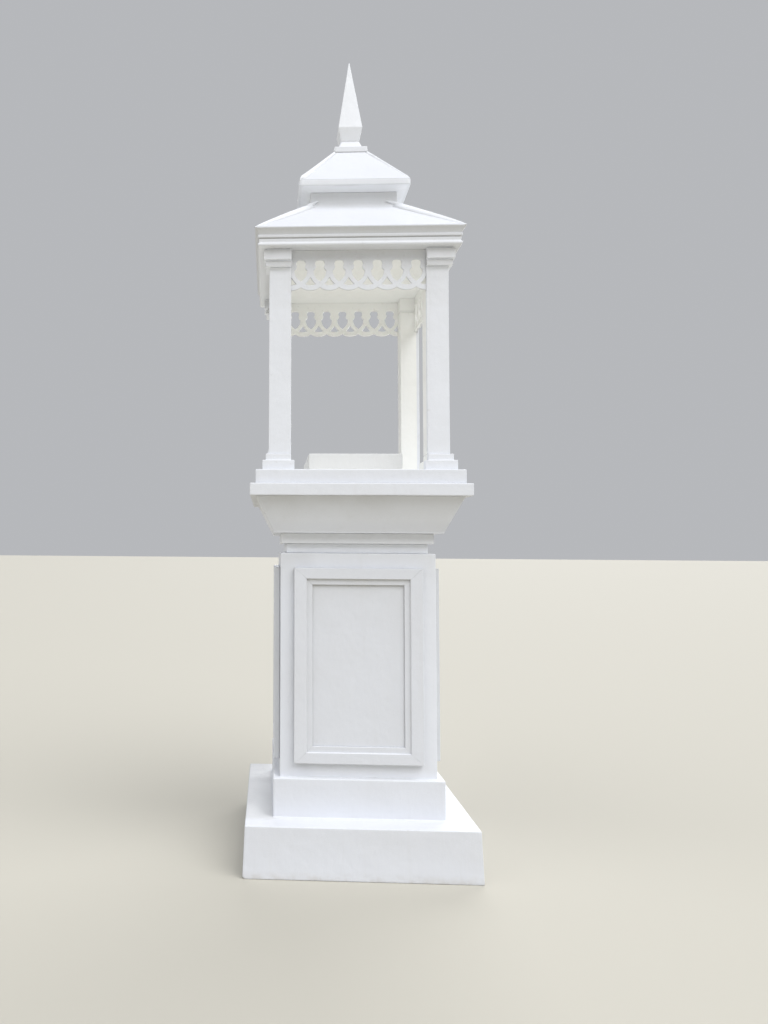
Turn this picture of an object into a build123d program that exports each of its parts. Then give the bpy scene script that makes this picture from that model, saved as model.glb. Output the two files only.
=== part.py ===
"""White painted spirit house: a square pedestal that carries a small open shrine with four columns.

Millimetres, +Z up, front towards -Y. The origin is the middle of the foot, on the ground.
Every piece stands on the one below it, so the heights here are each piece's own height.
"""

import os
from math import atan2, degrees

from build123d import *

# Plinth: the low wide block on the ground, its sides leaning in a little
PLINTH_FOOT = 1034.0
PLINTH_HEAD = 1016.0
PLINTH_HIGH = 221.0

# Step between the plinth and the body of the pedestal
SUB_BASE_WIDE = 768.0
SUB_BASE_HIGH = 172.0

# Body of the pedestal, with a raised panel on each side
BODY_WIDE = 708.0
BODY_HIGH = 1013.0
PANEL_MARGIN_SIDE = 63.0
PANEL_MARGIN_LOW = 66.0
PANEL_MARGIN_HIGH = 68.0
PANEL_THICK = 27.0
FRAME_WIDE = 56.0
FRAME_HIGH = 49.0
LEDGE = 27.0
LEDGE_DEEP = 9.0

# Neck, the wider band above it and the flared bell that spreads out to the slabs
NECK_WIDE = 650.0
NECK_HIGH = 44.0
NECK_BAND_WIDE = 697.0
NECK_BAND_HIGH = 48.0
BELL_FOOT = 775.0
BELL_LIP = 6.0
BELL_HEAD = 933.0
BELL_FLARE = 159.0

# Two slabs that make the floor of the shrine, and the raised step in the middle of it
LOWER_SLAB_WIDE = 989.0
LOWER_SLAB_HIGH = 56.0
UPPER_SLAB_WIDE = 939.0
UPPER_SLAB_HIGH = 64.0
STEP_X = 440.0
STEP_Y = 544.0
STEP_HIGH = 94.0

# Columns: one at each corner, on a stepped base and under a stepped capital.
# The steps stand out on the outer faces, and only the lowest one on the inner faces too.
COLUMN = 102.0
COLUMN_EDGE = 58.5
BASE_LOW_OUT = 28.0
BASE_LOW_IN = 15.0
BASE_LOW_HIGH = 45.0
BASE_UPPER_OUT = 13.0
BASE_UPPER_HIGH = 30.0
SHAFT_HIGH = 871.0
CAPITAL_LOW_OUT = 17.0
CAPITAL_LOW_HIGH = 23.0
CAPITAL_GROOVE = 6.0
CAPITAL_GROOVE_HIGH = 6.0
CAPITAL_UPPER_OUT = 26.0
CAPITAL_UPPER_HIGH = 44.0
CAPITAL_NECK_OUT = 18.0
CAPITAL_NECK_HIGH = 7.0

# Fretted boards that hang from the ceiling between the columns, just behind their outer faces
FRET_HIGH = 188.0
FRET_THICK = 18.0
FRET_SET_BACK = 6.0
VASES = 7
SCALLOP = 14.0
# Vase shaped hole: a wide head that is nearly flat on top, a slight waist, round shoulders and a
# belly that runs down to a point. Each height is counted down from the ceiling.
HEAD_DOWN = 45.0
HEAD_CORNER = (16.0, -47.5)
HEAD_SIDE = (21.8, -59.0)
WAIST = (18.8, -74.0)
ABOVE_SHOULDER = (21.3, -85.0)
SHOULDER = (29.8, -93.5)
BELLY = (26.9, -113.0)
POINT_DOWN = 147.0
# Three-cornered hole below each post between the vases, with half a hole at each column
SPUR_DOWN = 126.0
SPUR_FLANK = (10.2, -142.0)
SPUR_CORNER = (25.0, -158.5)
SPUR_FOOT_DOWN = 164.0

# Cornice: the flat ceiling, then a round bead, a band, a groove, a fillet and a cove out to
# the eave. The band and the foot of the cove lie a little behind the bead and the fillet.
BEAD_FOOT_IN = 9.0
BEAD_OUT = 54.0
BEAD_MIDDLE = 9.0
BEAD_HIGH = 18.0
BAND_IN = 5.0
BAND_HIGH = 18.0
GROOVE_DEEP = 3.5
GROOVE_HIGH = 5.0
FILLET_HIGH = 13.5
COVE_IN = 3.0
COVE_OUT = 13.0
COVE_HIGH = 27.5
COVE_HOLLOW = 3.0
EAVE_HIGH = 5.0

# Lower roof, and the frieze that stands on it
FRIEZE_WIDE = 422.0
LOWER_ROOF_HIGH = 210.0
FRIEZE_HIGH = 68.0

# Upper eave with a cove under it, and the steeper upper roof
UPPER_COVE_LIP = 2.0
UPPER_COVE_OUT = 43.0
UPPER_COVE_HIGH = 11.0
UPPER_COVE_HOLLOW = 5.0
UPPER_FASCIA_OUT = 13.0
UPPER_FASCIA_HIGH = 28.0
UPPER_ROOF_HEAD = 160.0
UPPER_ROOF_HIGH = 230.0

# Collar and finial
COLLAR_WIDE = 168.0
COLLAR_HIGH = 29.0
PAD_FOOT = 128.0
PAD_HIGH = 46.0
FINIAL_FOOT = 90.0
FINIAL_SWELL = 68.0
FINIAL_WIDE = 122.0
SPIRE_TIP = 5.0
SPIRE_HIGH = 374.0

# Levels, worked out from the ground up
sub_base_foot = PLINTH_HIGH
body_foot = sub_base_foot + SUB_BASE_HIGH
neck_foot = body_foot + BODY_HIGH
neck_band_foot = neck_foot + NECK_HIGH
bell_foot = neck_band_foot + NECK_BAND_HIGH
flare_foot = bell_foot + BELL_LIP
lower_slab_foot = flare_foot + BELL_FLARE
upper_slab_foot = lower_slab_foot + LOWER_SLAB_HIGH
floor = upper_slab_foot + UPPER_SLAB_HIGH
base_step = floor + BASE_LOW_HIGH
shaft_foot = base_step + BASE_UPPER_HIGH
capital_foot = shaft_foot + SHAFT_HIGH
capital_groove = capital_foot + CAPITAL_LOW_HIGH
capital_upper = capital_groove + CAPITAL_GROOVE_HIGH
capital_neck = capital_upper + CAPITAL_UPPER_HIGH
ceiling = capital_neck + CAPITAL_NECK_HIGH
cornice_band = ceiling + BEAD_HIGH
cornice_groove = cornice_band + BAND_HIGH
cornice_fillet = cornice_groove + GROOVE_HIGH
cornice_cove = cornice_fillet + FILLET_HIGH
eave_foot = cornice_cove + COVE_HIGH
lower_roof_foot = eave_foot + EAVE_HIGH
frieze_foot = lower_roof_foot + LOWER_ROOF_HIGH
upper_eave_foot = frieze_foot + FRIEZE_HIGH
upper_fascia = upper_eave_foot + UPPER_COVE_HIGH
upper_roof_foot = upper_fascia + UPPER_FASCIA_HIGH
collar_foot = upper_roof_foot + UPPER_ROOF_HIGH
pad_foot = collar_foot + COLLAR_HIGH
finial_foot = pad_foot + PAD_HIGH
spire_foot = finial_foot + FINIAL_SWELL

# Distances out from the axis that several pieces share
column_axis = UPPER_SLAB_WIDE / 2 - COLUMN_EDGE - COLUMN / 2
column_face = column_axis + COLUMN / 2
column_inside = column_axis - COLUMN / 2
bead_out = column_face + BEAD_OUT
bead_foot_out = bead_out - BEAD_FOOT_IN
band_out = bead_out - BAND_IN
groove_out = band_out - GROOVE_DEEP
cove_foot_out = bead_out - COVE_IN
eave_out = bead_out + COVE_OUT
upper_cove_in = FRIEZE_WIDE / 2 + UPPER_COVE_LIP
upper_cove_out = upper_cove_in + UPPER_COVE_OUT
upper_eave_out = upper_cove_out + UPPER_FASCIA_OUT

# Angle of each other side, counted from the front round by the right, and the four corners
SIDES = {"right": 90, "back": 180, "left": 270}
CORNERS = {"front_left": (-1, -1), "front_right": (1, -1), "back_left": (-1, 1), "back_right": (1, 1)}

os.makedirs("parts", exist_ok=True)


def write_out(part, label):
    """Label one piece and write it to its own file."""
    part.label = label
    export_step(part, "parts/" + label + ".step")


def square_block(wide, foot, high):
    """Add a plain square block on the axis to the part being built."""
    with Locations((0, 0, foot + high / 2)):
        Box(wide, wide, high)


def leaning_block(wide_foot, wide_head, foot, high):
    """Add a square block on the axis whose four sides lean in or out."""
    with BuildSketch(Plane.XY.offset(foot)) as outline:
        Rectangle(wide_foot, wide_foot)
    extrude(outline.sketch, amount=high, taper=degrees(atan2((wide_foot - wide_head) / 2, high)))


def corner_block(corner, outwards, inwards, foot, high):
    """Add a block round a column that stands out by one amount outwards and by another inwards."""
    across = COLUMN + outwards + inwards
    centre = column_axis + (outwards - inwards) / 2
    with Locations((corner[0] * centre, corner[1] * centre, foot + high / 2)):
        Box(across, across, high)


def beside(axis, way, at):
    """Give a point on the left (-1) or the right (1) of an upright axis."""
    return axis + way * at[0], at[1]


# Plinth
with BuildPart() as plinth:
    leaning_block(PLINTH_FOOT, PLINTH_HEAD, 0, PLINTH_HIGH)
write_out(plinth.part, "plinth")

# Step under the body
with BuildPart() as sub_base:
    square_block(SUB_BASE_WIDE, sub_base_foot, SUB_BASE_HIGH)
write_out(sub_base.part, "sub_base")

# Body
with BuildPart() as body:
    square_block(BODY_WIDE, body_foot, BODY_HIGH)
write_out(body.part, "body")

# Raised panel, drawn from the front: a flat frame, then a ledge and the field inside it,
# each a shallow step down
panel_wide = BODY_WIDE - 2 * PANEL_MARGIN_SIDE
panel_tall = BODY_HIGH - PANEL_MARGIN_LOW - PANEL_MARGIN_HIGH
panel_middle = body_foot + PANEL_MARGIN_LOW + panel_tall / 2
panel_face = BODY_WIDE / 2 + PANEL_THICK
inside_wide = panel_wide - 2 * FRAME_WIDE
inside_tall = panel_tall - 2 * FRAME_HIGH
with BuildPart() as front_panel:
    with BuildSketch(Plane.XZ.offset(BODY_WIDE / 2)):
        with Locations((0, panel_middle)):
            Rectangle(panel_wide, panel_tall)
    extrude(amount=PANEL_THICK)
    with BuildSketch(Plane.XZ.offset(panel_face)):
        with Locations((0, panel_middle)):
            Rectangle(inside_wide, inside_tall)
    extrude(amount=-LEDGE_DEEP, mode=Mode.SUBTRACT)
    with BuildSketch(Plane.XZ.offset(panel_face - LEDGE_DEEP)):
        with Locations((0, panel_middle)):
            Rectangle(inside_wide - 2 * LEDGE, inside_tall - 2 * LEDGE)
    extrude(amount=-LEDGE_DEEP, mode=Mode.SUBTRACT)
write_out(front_panel.part, "front_panel")
for side, angle in SIDES.items():
    write_out(front_panel.part.rotate(Axis.Z, angle), side + "_panel")

# Neck and the band above it
with BuildPart() as neck:
    square_block(NECK_WIDE, neck_foot, NECK_HIGH)
write_out(neck.part, "neck")
with BuildPart() as neck_band:
    square_block(NECK_BAND_WIDE, neck_band_foot, NECK_BAND_HIGH)
write_out(neck_band.part, "neck_band")

# Bell: a thin lip, and the flare that reaches up to the slab
with BuildPart() as bell:
    square_block(BELL_FOOT, bell_foot, BELL_LIP)
    leaning_block(BELL_FOOT, BELL_HEAD, flare_foot, BELL_FLARE)
write_out(bell.part, "bell")

# Slabs
with BuildPart() as lower_slab:
    square_block(LOWER_SLAB_WIDE, lower_slab_foot, LOWER_SLAB_HIGH)
write_out(lower_slab.part, "lower_slab")
with BuildPart() as upper_slab:
    square_block(UPPER_SLAB_WIDE, upper_slab_foot, UPPER_SLAB_HIGH)
write_out(upper_slab.part, "upper_slab")

# Raised step inside the shrine
with BuildPart() as offering_step:
    with Locations((0, 0, floor + STEP_HIGH / 2)):
        Box(STEP_X, STEP_Y, STEP_HIGH)
write_out(offering_step.part, "offering_step")

# Base, shaft and capital at each corner
for label, corner in CORNERS.items():
    with BuildPart() as column_base:
        corner_block(corner, BASE_LOW_OUT, BASE_LOW_IN, floor, BASE_LOW_HIGH)
        corner_block(corner, BASE_UPPER_OUT, 0, base_step, BASE_UPPER_HIGH)
    write_out(column_base.part, label + "_column_base")
    with BuildPart() as column:
        corner_block(corner, 0, 0, shaft_foot, SHAFT_HIGH)
    write_out(column.part, label + "_column")
    with BuildPart() as capital:
        corner_block(corner, CAPITAL_LOW_OUT, 0, capital_foot, CAPITAL_LOW_HIGH)
        corner_block(corner, CAPITAL_LOW_OUT - CAPITAL_GROOVE, 0, capital_groove, CAPITAL_GROOVE_HIGH)
        corner_block(corner, CAPITAL_UPPER_OUT, 0, capital_upper, CAPITAL_UPPER_HIGH)
        corner_block(corner, CAPITAL_NECK_OUT, 0, capital_neck, CAPITAL_NECK_HIGH)
    write_out(capital.part, label + "_capital")

# Fretted board, drawn from the front with the ceiling at height 0. Its lower edge hangs in
# scallops between cusps under the vases, and ends in half a scallop at each column.
pitch = 2 * column_inside / VASES
vase_axes = [(index - (VASES - 1) / 2) * pitch for index in range(VASES)]
spur_axes = [-column_inside] + [x + pitch / 2 for x in vase_axes]
fret_foot = -FRET_HIGH
cusp_height = fret_foot + SCALLOP
fret_plane = Plane.XZ.offset(column_face - FRET_SET_BACK - FRET_THICK)
fret_plane.origin += (0, 0, ceiling)
with BuildPart() as front_fret:
    with BuildSketch(fret_plane):
        with BuildLine():
            Line((-column_inside, 0), (column_inside, 0))
            for start, stop in zip(vase_axes, vase_axes[1:]):
                lowest = ((start + stop) / 2, fret_foot)
                ThreePointArc((start, cusp_height), lowest, (stop, cusp_height))
            for way in (-1, 1):
                edge = way * column_inside
                Line((edge, 0), (edge, fret_foot))
                quarter = (edge - way * pitch / 4, fret_foot + SCALLOP / 4)
                ThreePointArc((edge, fret_foot), quarter, (edge - way * pitch / 2, cusp_height))
        make_face()
        for x in vase_axes:
            with BuildLine():
                left_corner, right_corner = beside(x, -1, HEAD_CORNER), beside(x, 1, HEAD_CORNER)
                ThreePointArc(left_corner, (x, -HEAD_DOWN), right_corner)
                for way in (-1, 1):
                    corner, side, waist = (beside(x, way, at) for at in (HEAD_CORNER, HEAD_SIDE, WAIST))
                    above, shoulder, belly = (beside(x, way, at) for at in (ABOVE_SHOULDER, SHOULDER, BELLY))
                    ThreePointArc(corner, side, waist)
                    ThreePointArc(waist, above, shoulder)
                    ThreePointArc(shoulder, belly, (x, -POINT_DOWN))
            make_face(mode=Mode.SUBTRACT)
        for x in spur_axes:
            with BuildLine():
                left_corner, right_corner = beside(x, -1, SPUR_CORNER), beside(x, 1, SPUR_CORNER)
                ThreePointArc(left_corner, (x, -SPUR_FOOT_DOWN), right_corner)
                for way in (-1, 1):
                    flank, corner = beside(x, way, SPUR_FLANK), beside(x, way, SPUR_CORNER)
                    ThreePointArc((x, -SPUR_DOWN), flank, corner)
            make_face(mode=Mode.SUBTRACT)
    extrude(amount=FRET_THICK)
write_out(front_fret.part, "front_fret")
for side, angle in SIDES.items():
    write_out(front_fret.part.rotate(Axis.Z, angle), side + "_fret")

# Cornice: the same outline runs along both directions, and what the two runs share has
# mitred corners
with BuildPart() as cornice:
    for plane, mode in ((Plane.XZ, Mode.ADD), (Plane.YZ, Mode.INTERSECT)):
        with BuildSketch(plane):
            with BuildLine():
                Polyline((0, lower_roof_foot), (0, ceiling), (bead_foot_out, ceiling))
                bead_middle = (bead_out, ceiling + BEAD_MIDDLE)
                ThreePointArc((bead_foot_out, ceiling), bead_middle, (band_out, cornice_band))
                Polyline(
                    (band_out, cornice_band),
                    (band_out, cornice_groove),
                    (groove_out, cornice_groove),
                    (groove_out, cornice_fillet),
                    (bead_out, cornice_fillet),
                    (bead_out, cornice_cove),
                    (cove_foot_out, cornice_cove),
                )
                middle = ((cove_foot_out + eave_out) / 2, (cornice_cove + eave_foot) / 2)
                hollow = (middle[0] - COVE_HOLLOW / 2, middle[1] + COVE_HOLLOW / 2)
                ThreePointArc((cove_foot_out, cornice_cove), hollow, (eave_out, eave_foot))
                Polyline((eave_out, eave_foot), (eave_out, lower_roof_foot), (0, lower_roof_foot))
            make_face()
            mirror(about=Plane.YZ)
        extrude(amount=2 * eave_out, both=True, mode=mode)
write_out(cornice.part, "cornice")

# Lower roof
with BuildPart() as lower_roof:
    leaning_block(2 * eave_out, FRIEZE_WIDE, lower_roof_foot, LOWER_ROOF_HIGH)
write_out(lower_roof.part, "lower_roof")

# Frieze between the roofs
with BuildPart() as frieze:
    square_block(FRIEZE_WIDE, frieze_foot, FRIEZE_HIGH)
write_out(frieze.part, "frieze")

# Upper eave, mitred in the same way as the cornice
with BuildPart() as upper_eave:
    for plane, mode in ((Plane.XZ, Mode.ADD), (Plane.YZ, Mode.INTERSECT)):
        with BuildSketch(plane):
            with BuildLine():
                Polyline((0, upper_roof_foot), (0, upper_eave_foot), (upper_cove_in, upper_eave_foot))
                middle = ((upper_cove_in + upper_cove_out) / 2, (upper_eave_foot + upper_fascia) / 2)
                hollow = (middle[0] - UPPER_COVE_HOLLOW / 2, middle[1] + UPPER_COVE_HOLLOW / 2)
                ThreePointArc((upper_cove_in, upper_eave_foot), hollow, (upper_cove_out, upper_fascia))
                Polyline(
                    (upper_cove_out, upper_fascia),
                    (upper_eave_out, upper_fascia),
                    (upper_eave_out, upper_roof_foot),
                    (0, upper_roof_foot),
                )
            make_face()
            mirror(about=Plane.YZ)
        extrude(amount=2 * upper_eave_out, both=True, mode=mode)
write_out(upper_eave.part, "upper_eave")

# Upper roof
with BuildPart() as upper_roof:
    leaning_block(2 * upper_eave_out, UPPER_ROOF_HEAD, upper_roof_foot, UPPER_ROOF_HIGH)
write_out(upper_roof.part, "upper_roof")

# Collar: a square block with a sloping pad on it
with BuildPart() as collar:
    square_block(COLLAR_WIDE, collar_foot, COLLAR_HIGH)
    leaning_block(PAD_FOOT, FINIAL_FOOT, pad_foot, PAD_HIGH)
write_out(collar.part, "collar")

# Finial: it widens for a short way, then runs up to a blunt point
with BuildPart() as finial:
    leaning_block(FINIAL_FOOT, FINIAL_WIDE, finial_foot, FINIAL_SWELL)
    leaning_block(FINIAL_WIDE, SPIRE_TIP, spire_foot, SPIRE_HIGH)
write_out(finial.part, "finial")
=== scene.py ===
# %% [markdown]
# # A white painted spirit house
#
# The real object is masonry: a panelled pedestal of rendered brickwork, and on it a small open
# shrine of cast columns, thin boards and two hipped roofs, all under one coat of white exterior
# paint. This lesson dresses the plain solids of that object. Every piece is made again with worn
# arrises, trowelled faces and joints, and stands exactly where the plain solid stood.
#
# Their outer boxes give the sizes, and a new piece is kept inside the box of the solid it
# replaces.

from math import acos, cos, pi, radians, sin, tan

import bmesh
import bpy
from mathutils import Matrix, Vector, noise


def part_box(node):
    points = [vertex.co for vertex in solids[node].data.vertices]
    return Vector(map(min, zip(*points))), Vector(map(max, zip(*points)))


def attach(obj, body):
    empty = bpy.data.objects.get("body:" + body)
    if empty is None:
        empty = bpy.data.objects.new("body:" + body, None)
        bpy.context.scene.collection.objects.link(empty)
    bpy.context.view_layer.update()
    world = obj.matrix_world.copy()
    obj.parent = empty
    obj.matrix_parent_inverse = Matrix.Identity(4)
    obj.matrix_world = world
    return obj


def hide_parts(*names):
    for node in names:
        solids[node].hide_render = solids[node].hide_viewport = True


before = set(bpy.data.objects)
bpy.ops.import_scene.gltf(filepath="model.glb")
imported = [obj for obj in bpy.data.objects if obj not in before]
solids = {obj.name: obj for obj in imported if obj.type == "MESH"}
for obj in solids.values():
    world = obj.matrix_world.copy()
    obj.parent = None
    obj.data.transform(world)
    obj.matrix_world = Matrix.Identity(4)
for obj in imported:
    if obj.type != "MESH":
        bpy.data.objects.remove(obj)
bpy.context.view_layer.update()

# %% [markdown]
# ## Where the photographer stood
#
# The picture was taken from the height of a person's chest, about four metres in front and a
# little to the left, and it is the right-hand part of a wider frame. A lens shift gives the same
# crop without turning the camera, so the columns stay as upright as they are in the picture.
# The numbers were worked out from about sixty corners that can be found in the picture.

# %% Lens and crop
SENSOR_WIDTH = 36.0
FOCAL_LENGTH = 27.81
CROP_SIDEWAYS = 0.1503
CROP_UPWARDS = -0.0088

scene = bpy.context.scene
lens = bpy.data.cameras.new("photographer")
lens.sensor_width = SENSOR_WIDTH
lens.lens = FOCAL_LENGTH
lens.shift_x = CROP_SIDEWAYS
lens.shift_y = CROP_UPWARDS
camera = bpy.data.objects.new("photographer", lens)
scene.collection.objects.link(camera)
scene.camera = camera
print("lens", FOCAL_LENGTH, "mm on a sensor of", SENSOR_WIDTH, "mm")

# %% Standpoint and direction
STANDPOINT = (-0.4084, -4.0187, 1.4186)
YAW, PITCH, ROLL = -0.0492, 0.059, 0.0072

ahead = Vector((sin(YAW) * cos(PITCH), cos(YAW) * cos(PITCH), sin(PITCH)))
level = Vector((cos(YAW), -sin(YAW), 0.0))
upward = level.cross(ahead)
across = level * cos(ROLL) + upward * sin(ROLL)
overhead = upward * cos(ROLL) - level * sin(ROLL)
pose = Matrix((across, overhead, -ahead)).transposed().to_4x4()
pose.translation = Vector(STANDPOINT)
camera.matrix_world = pose
print("camera looks along", [round(v, 3) for v in ahead])

# %% [markdown]
# ## Floor and light
#
# White paint only reads as white next to something a little darker, so the floor and the
# background are pale grey. The camera sees one grey behind the object while another, bluer and
# weaker, lights it, which is why the sky mixes two backgrounds.

# %% Even sky and plain background
BACKGROUND_GREY = (0.47, 0.48, 0.50)
SKY_STRENGTH = 0.35
SKY_TINT = (0.97, 1.00, 1.05)

scene.view_settings.view_transform = "Standard"
sky = bpy.data.worlds.new("even_sky")
sky.use_nodes = True
scene.world = sky
sky_nodes = sky.node_tree.nodes
sky_links = sky.node_tree.links
sky_nodes.clear()
sky_light = sky_nodes.new("ShaderNodeBackground")
sky_light.inputs["Color"].default_value = (*SKY_TINT, 1.0)
sky_light.inputs["Strength"].default_value = SKY_STRENGTH
backdrop = sky_nodes.new("ShaderNodeBackground")
backdrop.inputs["Color"].default_value = (*BACKGROUND_GREY, 1.0)
backdrop.inputs["Strength"].default_value = 1.0
ray = sky_nodes.new("ShaderNodeLightPath")
choice = sky_nodes.new("ShaderNodeMixShader")
sky_out = sky_nodes.new("ShaderNodeOutputWorld")
sky_links.new(ray.outputs["Is Camera Ray"], choice.inputs["Fac"])
sky_links.new(sky_light.outputs["Background"], choice.inputs[1])
sky_links.new(backdrop.outputs["Background"], choice.inputs[2])
sky_links.new(choice.outputs["Shader"], sky_out.inputs["Surface"])
print("sky strength", SKY_STRENGTH, "nodes", len(sky_nodes))

# %% [markdown]
# The light outdoors was soft, and brighter from some parts of the sky than from others. A sky
# picture would give that too, but three very wide suns are easier to steer: a key light high up
# on the front right, a low one almost straight behind that shines in between the columns, and a
# weak one on the left. They are kept so low in strength that the roofs, which face the sky,
# don't burn out.

# %% Three wide suns
SUN_WIDTH = radians(55)


def wide_sun(name, azimuth, height, strength):
    """Hang a wide sun, with its azimuth counted from the front to the right, in degrees."""
    lamp_data = bpy.data.lights.new(name, "SUN")
    lamp_data.energy = strength
    lamp_data.angle = SUN_WIDTH
    lamp = bpy.data.objects.new(name, lamp_data)
    scene.collection.objects.link(lamp)
    turn, rise = radians(azimuth), radians(height)
    towards = Vector((sin(turn) * cos(rise), -cos(turn) * cos(rise), sin(rise)))
    lamp.rotation_euler = towards.to_track_quat("Z", "Y").to_euler()
    print(name, "stands", [round(v, 2) for v in towards])


wide_sun("key", 45, 52, 2.30)
wide_sun("behind", 158, 22, 1.90)
wide_sun("fill", -60, 42, 0.88)

# %% [markdown]
# The floor catches the shadow and throws light back up under the ledges, so its grey is a warm
# one. It reaches so far that its corners stay out of every view.

# %% Floor
FLOOR_GREY = (0.530, 0.510, 0.450)
FLOOR_REACH = 150.0

floor_mesh = bpy.data.meshes.new("paving")
floor_shape = bmesh.new()
bmesh.ops.create_grid(floor_shape, x_segments=8, y_segments=8, size=FLOOR_REACH)
floor_shape.to_mesh(floor_mesh)
floor_shape.free()
paving = bpy.data.objects.new("paving", floor_mesh)
scene.collection.objects.link(paving)
paving_finish = bpy.data.materials.new("pale_paving")
paving_finish.use_nodes = True
paving_surface = paving_finish.node_tree.nodes["Principled BSDF"]
paving_surface.inputs["Base Color"].default_value = (*FLOOR_GREY, 1.0)
paving_surface.inputs["Roughness"].default_value = 0.9
floor_mesh.materials.append(paving_finish)
print("floor reaches", FLOOR_REACH, "m each way")

# %% [markdown]
# ## The paint
#
# One kind of paint covers everything, and from a distance the pieces differ by the painted light
# and painted shade in their colour. Up close the paint shows what is under it, and what the
# rain did to it. Pictures of old paint could be wrapped round the pieces, but noise in the
# object's own coordinates runs on from piece to piece at its true scale, and has no seams. So
# every mark comes from noise, and a small toolbox of functions keeps the recipes short.

# %% Toolbox for marks
def new_finish(name):
    """Start an empty finish and return it with its tree of nodes."""
    finish = bpy.data.materials.new(name)
    finish.use_nodes = True
    return finish, finish.node_tree


def place_texture(tree, stretch):
    """Give the object's own coordinates, in metres, stretched along each direction."""
    where = tree.nodes.new("ShaderNodeTexCoord")
    mapping = tree.nodes.new("ShaderNodeMapping")
    mapping.inputs["Scale"].default_value = stretch
    tree.links.new(where.outputs["Object"], mapping.inputs["Vector"])
    return mapping.outputs["Vector"]


def mottle(tree, scale, detail=3.0, stretch=(1.0, 1.0, 1.0)):
    """Give a noise between 0 and 1 whose marks are about 1 / scale metres apart."""
    marks = tree.nodes.new("ShaderNodeTexNoise")
    marks.inputs["Scale"].default_value = scale
    marks.inputs["Detail"].default_value = detail
    marks.inputs["Roughness"].default_value = 0.55
    tree.links.new(place_texture(tree, stretch), marks.inputs["Vector"])
    return marks.outputs["Fac"]


def span(tree, value, low, high, to_low=0.0, to_high=1.0):
    """Spread a value between two limits smoothly onto a new range."""
    spread = tree.nodes.new("ShaderNodeMapRange")
    spread.interpolation_type = "SMOOTHSTEP"
    spread.inputs["From Min"].default_value = low
    spread.inputs["From Max"].default_value = high
    spread.inputs["To Min"].default_value = to_low
    spread.inputs["To Max"].default_value = to_high
    tree.links.new(value, spread.inputs["Value"])
    return spread.outputs["Result"]


# %% Toolbox for sums, layers and relief
def work_out(tree, sum_kind, first, second):
    """Add, multiply or otherwise combine two values."""
    sum_node = tree.nodes.new("ShaderNodeMath")
    sum_node.operation = sum_kind
    for socket, value in zip(sum_node.inputs, (first, second)):
        if isinstance(value, float):
            socket.default_value = value
        else:
            tree.links.new(value, socket)
    return sum_node.outputs["Value"]


def lay_over(tree, under, colour, amount):
    """Lay a colour over what is there, by an amount between 0 and 1."""
    layer = tree.nodes.new("ShaderNodeMix")
    layer.data_type = "RGBA"
    tree.links.new(amount, layer.inputs["Factor"])
    if isinstance(under, tuple):
        layer.inputs["A"].default_value = (*under, 1.0)
    else:
        tree.links.new(under, layer.inputs["A"])
    layer.inputs["B"].default_value = (*colour, 1.0)
    return layer.outputs["Result"]


def roughen(tree, height, depth, under=None):
    """Turn a height into relief of a depth in metres, on top of the relief under it."""
    relief = tree.nodes.new("ShaderNodeBump")
    relief.inputs["Distance"].default_value = depth
    relief.inputs["Strength"].default_value = 1.0
    tree.links.new(height, relief.inputs["Height"])
    if under is not None:
        tree.links.new(under, relief.inputs["Normal"])
    return relief.outputs["Normal"]


# %% [markdown]
# ## Three whites
#
# The outside white is a cool grey white, and its blue is painted sky light. A piece can ask for
# a lighter white, as painted light, with a number up to 1, which is stored on its points, and
# below 0 the same number asks for painted shade. Inside the shrine, between the columns and up
# to the ceiling, the white is painted lighter and creamier, as painted light for the light that
# bounces round inside. A separate finish for the inside could do that, but many pieces lie half
# inside, so the place decides and not the piece.

# %% Coats of white
PAINT_WHITE = (0.778, 0.800, 0.858)
PAINTED_LIGHT_WHITE = (0.915, 0.937, 0.979)
INSIDE_PAINTED_LIGHT = (0.958, 0.964, 0.948)
INSIDE_EDGE = 0.396
INSIDE_FLOOR = 1.782
INSIDE_CEILING = 2.8092
INSIDE_BLEND = 0.002


def limited(tree, value):
    """Keep a value between 0 and 1."""
    return work_out(tree, "MINIMUM", work_out(tree, "MAXIMUM", value, 0.0), 1.0)


def coats(tree):
    """The outside white, painted lighter where a piece asks for painted light, and the lighter
    white inside the shrine, which is painted light too.
    """
    where = tree.nodes.new("ShaderNodeTexCoord")
    parts = tree.nodes.new("ShaderNodeSeparateXYZ")
    tree.links.new(where.outputs["Object"], parts.inputs["Vector"])
    out_x = work_out(tree, "ABSOLUTE", parts.outputs["X"], 0.0)
    out_y = work_out(tree, "ABSOLUTE", parts.outputs["Y"], 0.0)
    farthest = work_out(tree, "MAXIMUM", out_x, out_y)
    height = parts.outputs["Z"]
    last_inside, first_outside = INSIDE_EDGE - INSIDE_BLEND, INSIDE_EDGE + INSIDE_BLEND
    within = span(tree, farthest, last_inside, first_outside, 1.0, 0.0)
    above = span(tree, height, INSIDE_FLOOR - INSIDE_BLEND / 2, INSIDE_FLOOR)
    below = span(tree, height, INSIDE_CEILING, INSIDE_CEILING + INSIDE_BLEND, 1.0, 0.0)
    between = work_out(tree, "MULTIPLY", above, below)
    inside = work_out(tree, "MULTIPLY", within, between)
    asked = tree.nodes.new("ShaderNodeAttribute")
    asked.attribute_name = "painted_light_and_shade"
    painted_light_and_shade = limited(tree, asked.outputs["Fac"])
    white = lay_over(tree, PAINT_WHITE, PAINTED_LIGHT_WHITE, painted_light_and_shade)
    inside_painted_shade = work_out(tree, "MINIMUM", asked.outputs["Fac"], 0.0)
    inside = limited(tree, work_out(tree, "ADD", inside, inside_painted_shade))
    white = lay_over(tree, white, INSIDE_PAINTED_LIGHT, inside)
    unshaded = work_out(tree, "MAXIMUM", painted_light_and_shade, inside)
    return white, height, unshaded, asked.outputs["Fac"]
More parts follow.
